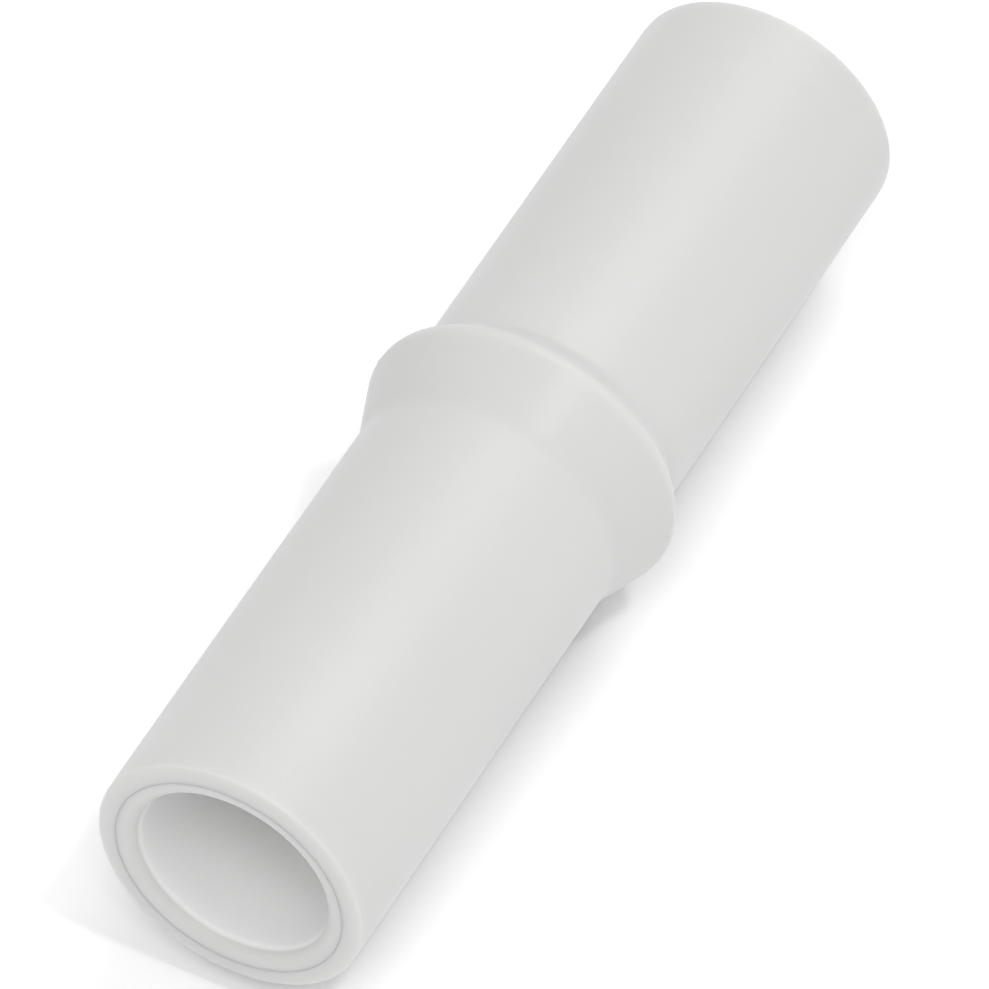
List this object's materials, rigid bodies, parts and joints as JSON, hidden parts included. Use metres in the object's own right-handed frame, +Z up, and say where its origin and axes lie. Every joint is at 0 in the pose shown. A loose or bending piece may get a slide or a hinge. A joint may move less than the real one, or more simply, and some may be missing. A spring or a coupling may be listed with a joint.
{
  "type": "push-fit pipe coupling",
  "caption": "Straight push-fit coupling: smooth milky plastic sleeve with a raised collar, rounded open mouths and push-in release sleeves, for joining two lengths of 15 mm pipe.",
  "frame": {"origin": "on the surface it lies on, below the middle of its length and below its axis", "axes": "+X along the pipe axis from the near mouth to the far mouth, +Z up, the coupling lying on its collar with its axis level"},
  "size_m": [0.0844, 0.0252, 0.0252],
  "materials": {
    "body_plastic": "natural polypropylene, milky and slightly translucent, satin moulded surface",
    "sleeve_plastic": "the same natural plastic as the body, satin",
    "ring_acetal": "white acetal, satin",
    "grip_steel": "pressed stainless spring steel",
    "seal_silicone": "pale translucent silicone, lightly greased"
  },
  "bodies": {
    "body": {"coupling_body": "body_plastic", "near_retaining_ring": "ring_acetal", "near_grab_ring_seat": "ring_acetal", "near_seal_guard": "ring_acetal", "near_o_ring": "seal_silicone", "far_retaining_ring": "ring_acetal", "far_grab_ring_seat": "ring_acetal", "far_seal_guard": "ring_acetal", "far_o_ring": "seal_silicone"},
    "near_release": {"near_release_sleeve": "sleeve_plastic"},
    "near_grip": {"near_grab_ring": "grip_steel"},
    "far_release": {"far_release_sleeve": "sleeve_plastic"},
    "far_grip": {"far_grab_ring": "grip_steel"}
  },
  "joints": [
    {"name": "near_release_slide", "type": "slide", "parent": "body", "child": "near_release", "axis": [1, 0, 0], "range_m": [0, 0.002]},
    {"name": "far_release_slide", "type": "slide", "parent": "body", "child": "far_release", "axis": [-1, 0, 0], "range_m": [0, 0.002]},
    {"name": "near_grab_ring_spin", "type": "hinge", "parent": "body", "child": "near_grip", "pos_m": [-0.0151, 0, 0.0126], "axis": [1, 0, 0], "continuous": true},
    {"name": "far_grab_ring_spin", "type": "hinge", "parent": "body", "child": "far_grip", "pos_m": [0.0151, 0, 0.0126], "axis": [1, 0, 0], "continuous": true}
  ]
}
